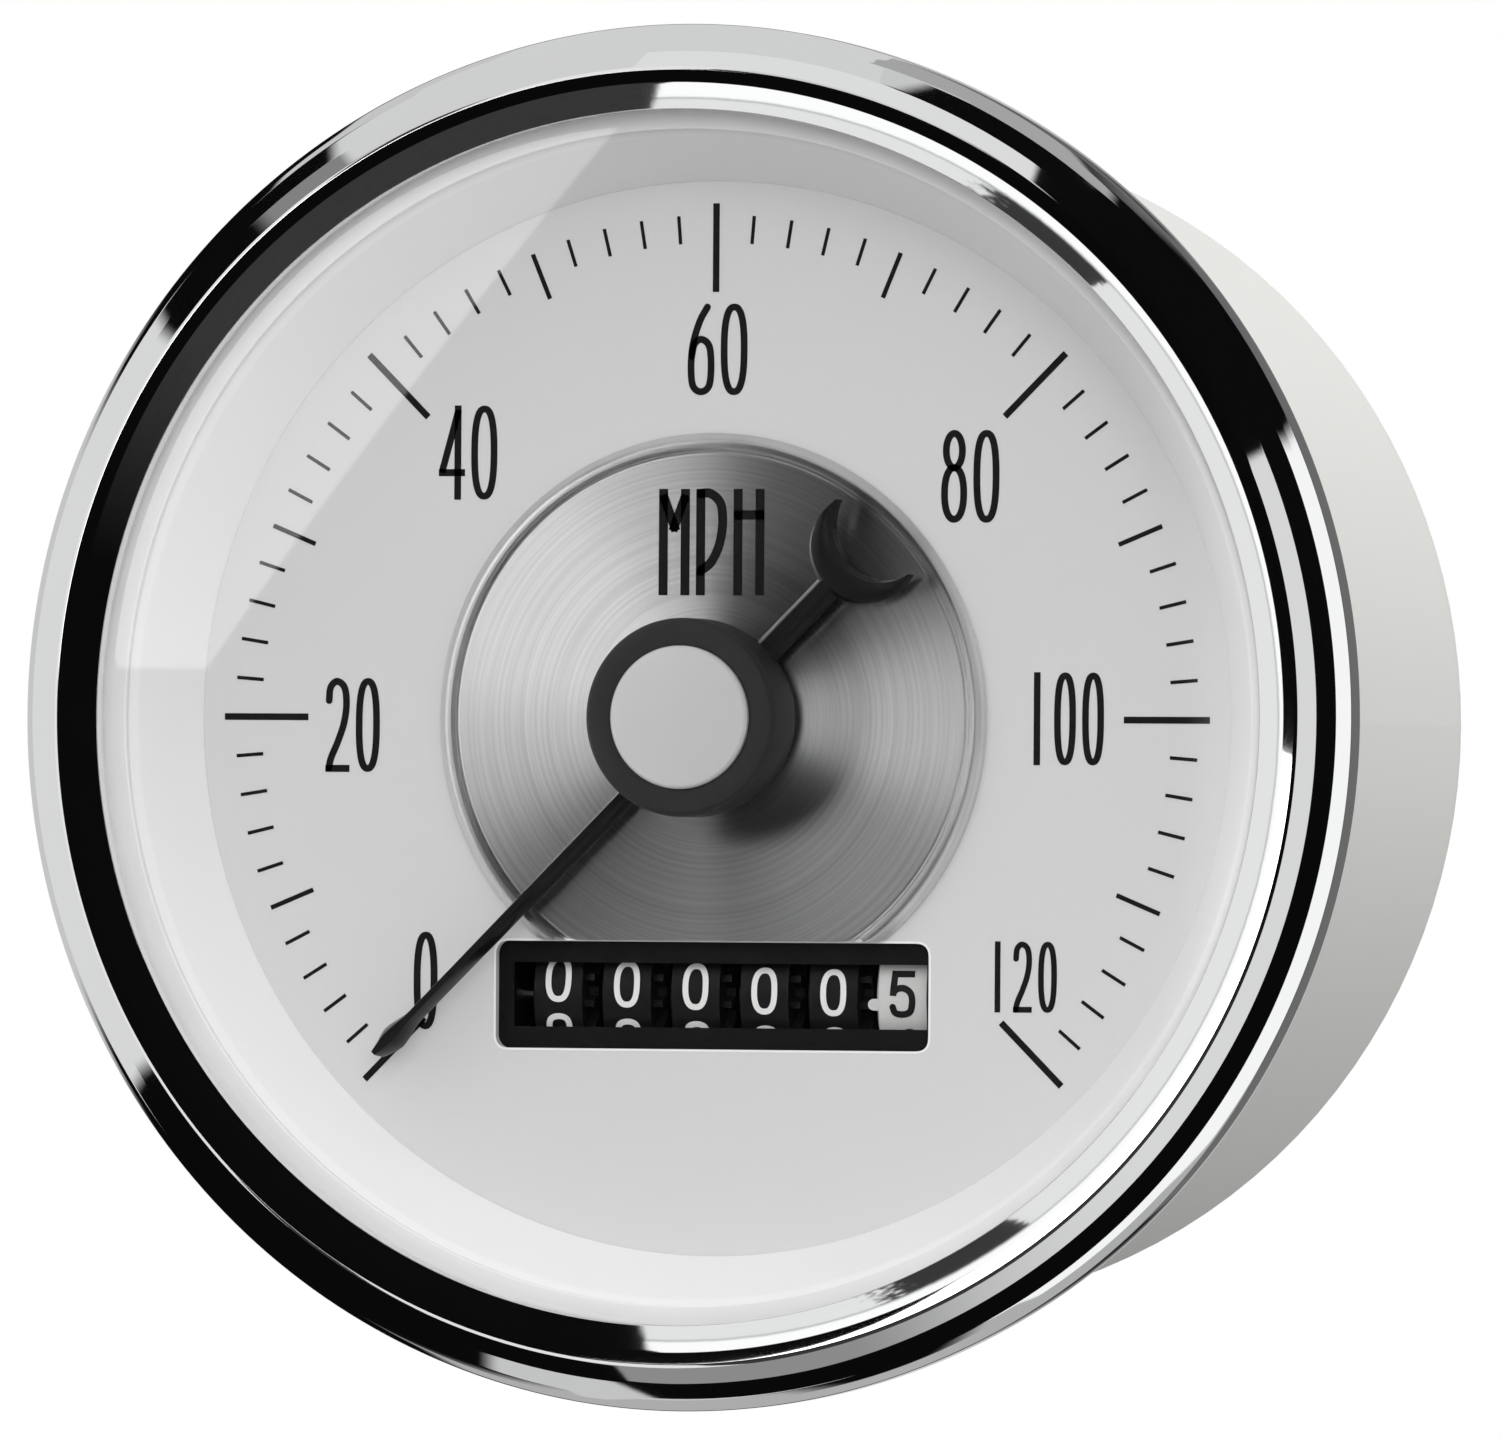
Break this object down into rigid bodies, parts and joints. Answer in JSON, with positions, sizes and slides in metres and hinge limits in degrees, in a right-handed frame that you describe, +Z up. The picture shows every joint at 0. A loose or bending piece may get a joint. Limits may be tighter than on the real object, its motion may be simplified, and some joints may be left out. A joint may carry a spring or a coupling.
{
  "type": "mechanical speedometer",
  "caption": "Round dash speedometer: pointer dial under a domed glass in a bright bezel, magnetic drag-cup drive, worm-geared odometer, cable stem, lamps and mounting studs.",
  "frame": {"origin": "on the gauge's axis, in the plane of the bezel's rear face, where it seats on the dash panel", "axes": "+Y along the axis from the dial to the back, +Z up, +X to the right as the driver sees the dial"},
  "size_m": [0.0856, 0.0741, 0.0856],
  "materials": {
    "chrome": "polished chrome plate",
    "lens_glass": "clear glass",
    "gasket": "matt grey",
    "white_paint": "satin white",
    "brushed_disc": "brushed",
    "black_paint": "matt black",
    "case_paint": "matt off-white coating",
    "frame_casting": "as cast",
    "sheet_steel": "zinc plated",
    "brass": "turned",
    "spring_bronze": "bright",
    "jewel": "polished",
    "bright_steel": "bright zinc",
    "stem_metal": "turned, zinc plated",
    "lamp_plastic": "moulded black",
    "lamp_glass": "clear glass",
    "pointer_black": "gloss black",
    "hub_black": "fine matt black",
    "cap_metal": "satin",
    "cup_metal": "spun",
    "magnet_ferrite": "ground",
    "wheel_black": "moulded black",
    "wheel_white": "moulded white",
    "pinion_plastic": "moulded ivory"
  },
  "bodies": {
    "housing": {"bezel": "chrome", "lens": "lens_glass", "lens_gasket": "gasket", "spacer_ring": "white_paint", "dial_plate": "white_paint", "centre_disc": "brushed_disc", "odometer_mask": "black_paint", "case_shell": "case_paint", "main_frame": "frame_casting", "front_bridge": "brass", "bridge_pillars": "brass", "inner_screws": "bright_steel", "jewel_bearing": "jewel", "hairspring": "spring_bronze", "hairspring_stud": "brass", "stop_pins": "bright_steel", "field_cup": "sheet_steel", "spindle_bushes": "brass", "cable_stem": "stem_metal", "stem_nut": "stem_metal", "odometer_bracket_left": "sheet_steel", "odometer_bracket_right": "sheet_steel", "odometer_shaft": "bright_steel", "pinion_shaft": "bright_steel", "gear_bracket": "sheet_steel", "frame_screws": "bright_steel", "mounting_studs": "bright_steel", "stud_washers": "bright_steel", "stud_nuts": "bright_steel", "lamp_sockets": "lamp_plastic", "lamp_bulbs": "lamp_glass"},
    "pointer": {"pointer_blade": "pointer_black", "pointer_hub": "hub_black", "hub_cap": "cap_metal", "pointer_spindle": "bright_steel", "speed_cup": "cup_metal", "hairspring_collet": "brass", "stop_arm": "black_paint"},
    "drive": {"drive_spindle": "bright_steel", "magnet": "magnet_ferrite"},
    "cross": {"cross_shaft": "bright_steel", "cross_wheel": "brass"},
    "lay": {"lay_shaft": "bright_steel", "lay_wheel": "brass"},
    "idler": {"idler_gear": "pinion_plastic"},
    "wheel_tenths_body": {"wheel_tenths": "wheel_white"},
    "wheel_ones_body": {"wheel_ones": "wheel_black"},
    "pinion_ones_body": {"pinion_ones": "pinion_plastic"},
    "wheel_tens_body": {"wheel_tens": "wheel_black"},
    "pinion_tens_body": {"pinion_tens": "pinion_plastic"},
    "wheel_hundreds_body": {"wheel_hundreds": "wheel_black"},
    "pinion_hundreds_body": {"pinion_hundreds": "pinion_plastic"},
    "wheel_thousands_body": {"wheel_thousands": "wheel_black"},
    "pinion_thousands_body": {"pinion_thousands": "pinion_plastic"},
    "wheel_ten_thousands_body": {"wheel_ten_thousands": "wheel_black"},
    "pinion_ten_thousands_body": {"pinion_ten_thousands": "pinion_plastic"}
  },
  "joints": [
    {"name": "pointer_sweep", "type": "hinge", "parent": "housing", "child": "pointer", "pos_m": [0, 0, 0], "axis": [0, 1, 0], "range_deg": [0, 270], "stiffness_Nm_per_rad": 0.00003, "springref_deg": -17.19, "deforming": ["hairspring"]},
    {"name": "drive_spin", "type": "hinge", "parent": "housing", "child": "drive", "pos_m": [0, 0, 0], "axis": [0, 1, 0], "continuous": true},
    {"name": "cross_spin", "type": "hinge", "parent": "housing", "child": "cross", "pos_m": [0.0086, 0.03688, 0], "axis": [0, 0, 1], "continuous": true},
    {"name": "lay_spin", "type": "hinge", "parent": "housing", "child": "lay", "pos_m": [0.0086, 0.02588, -0.0212], "axis": [1, 0, 0], "continuous": true},
    {"name": "idler_spin", "type": "hinge", "parent": "housing", "child": "idler", "pos_m": [0.0153, 0.01834, -0.0192], "axis": [1, 0, 0], "continuous": true},
    {"name": "tenths_spin", "type": "hinge", "parent": "housing", "child": "wheel_tenths_body", "pos_m": [0.0119, 0.0108, -0.0172], "axis": [1, 0, 0], "continuous": true},
    {"name": "ones_spin", "type": "hinge", "parent": "housing", "child": "wheel_ones_body", "pos_m": [0.00743, 0.0108, -0.0172], "axis": [1, 0, 0], "continuous": true},
    {"name": "ones_pinion_spin", "type": "hinge", "parent": "housing", "child": "pinion_ones_body", "pos_m": [0.00963, 0.01254, -0.02369], "axis": [1, 0, 0], "continuous": true},
    {"name": "tens_spin", "type": "hinge", "parent": "housing", "child": "wheel_tens_body", "pos_m": [0.00296, 0.0108, -0.0172], "axis": [1, 0, 0], "continuous": true},
    {"name": "tens_pinion_spin", "type": "hinge", "parent": "housing", "child": "pinion_tens_body", "pos_m": [0.00516, 0.01254, -0.02369], "axis": [1, 0, 0], "continuous": true},
    {"name": "hundreds_spin", "type": "hinge", "parent": "housing", "child": "wheel_hundreds_body", "pos_m": [-0.00151, 0.0108, -0.0172], "axis": [1, 0, 0], "continuous": true},
    {"name": "hundreds_pinion_spin", "type": "hinge", "parent": "housing", "child": "pinion_hundreds_body", "pos_m": [0.00069, 0.01254, -0.02369], "axis": [1, 0, 0], "continuous": true},
    {"name": "thousands_spin", "type": "hinge", "parent": "housing", "child": "wheel_thousands_body", "pos_m": [-0.00598, 0.0108, -0.0172], "axis": [1, 0, 0], "continuous": true},
    {"name": "thousands_pinion_spin", "type": "hinge", "parent": "housing", "child": "pinion_thousands_body", "pos_m": [-0.00378, 0.01254, -0.02369], "axis": [1, 0, 0], "continuous": true},
    {"name": "ten_thousands_spin", "type": "hinge", "parent": "housing", "child": "wheel_ten_thousands_body", "pos_m": [-0.01045, 0.0108, -0.0172], "axis": [1, 0, 0], "continuous": true},
    {"name": "ten_thousands_pinion_spin", "type": "hinge", "parent": "housing", "child": "pinion_ten_thousands_body", "pos_m": [-0.00825, 0.01254, -0.02369], "axis": [1, 0, 0], "continuous": true}
  ],
  "couplings": [
    {"joint": "cross_spin", "follows": "drive_spin", "ratio": 0.05},
    {"joint": "lay_spin", "follows": "drive_spin", "ratio": 0.001},
    {"joint": "idler_spin", "follows": "drive_spin", "ratio": -0.0010526},
    {"joint": "tenths_spin", "follows": "drive_spin", "ratio": 0.001},
    {"joint": "ones_pinion_spin", "follows": "ones_spin", "ratio": -2.5},
    {"joint": "tens_pinion_spin", "follows": "tens_spin", "ratio": -2.5},
    {"joint": "hundreds_pinion_spin", "follows": "hundreds_spin", "ratio": -2.5},
    {"joint": "thousands_pinion_spin", "follows": "thousands_spin", "ratio": -2.5},
    {"joint": "ten_thousands_pinion_spin", "follows": "ten_thousands_spin", "ratio": -2.5}
  ]
}
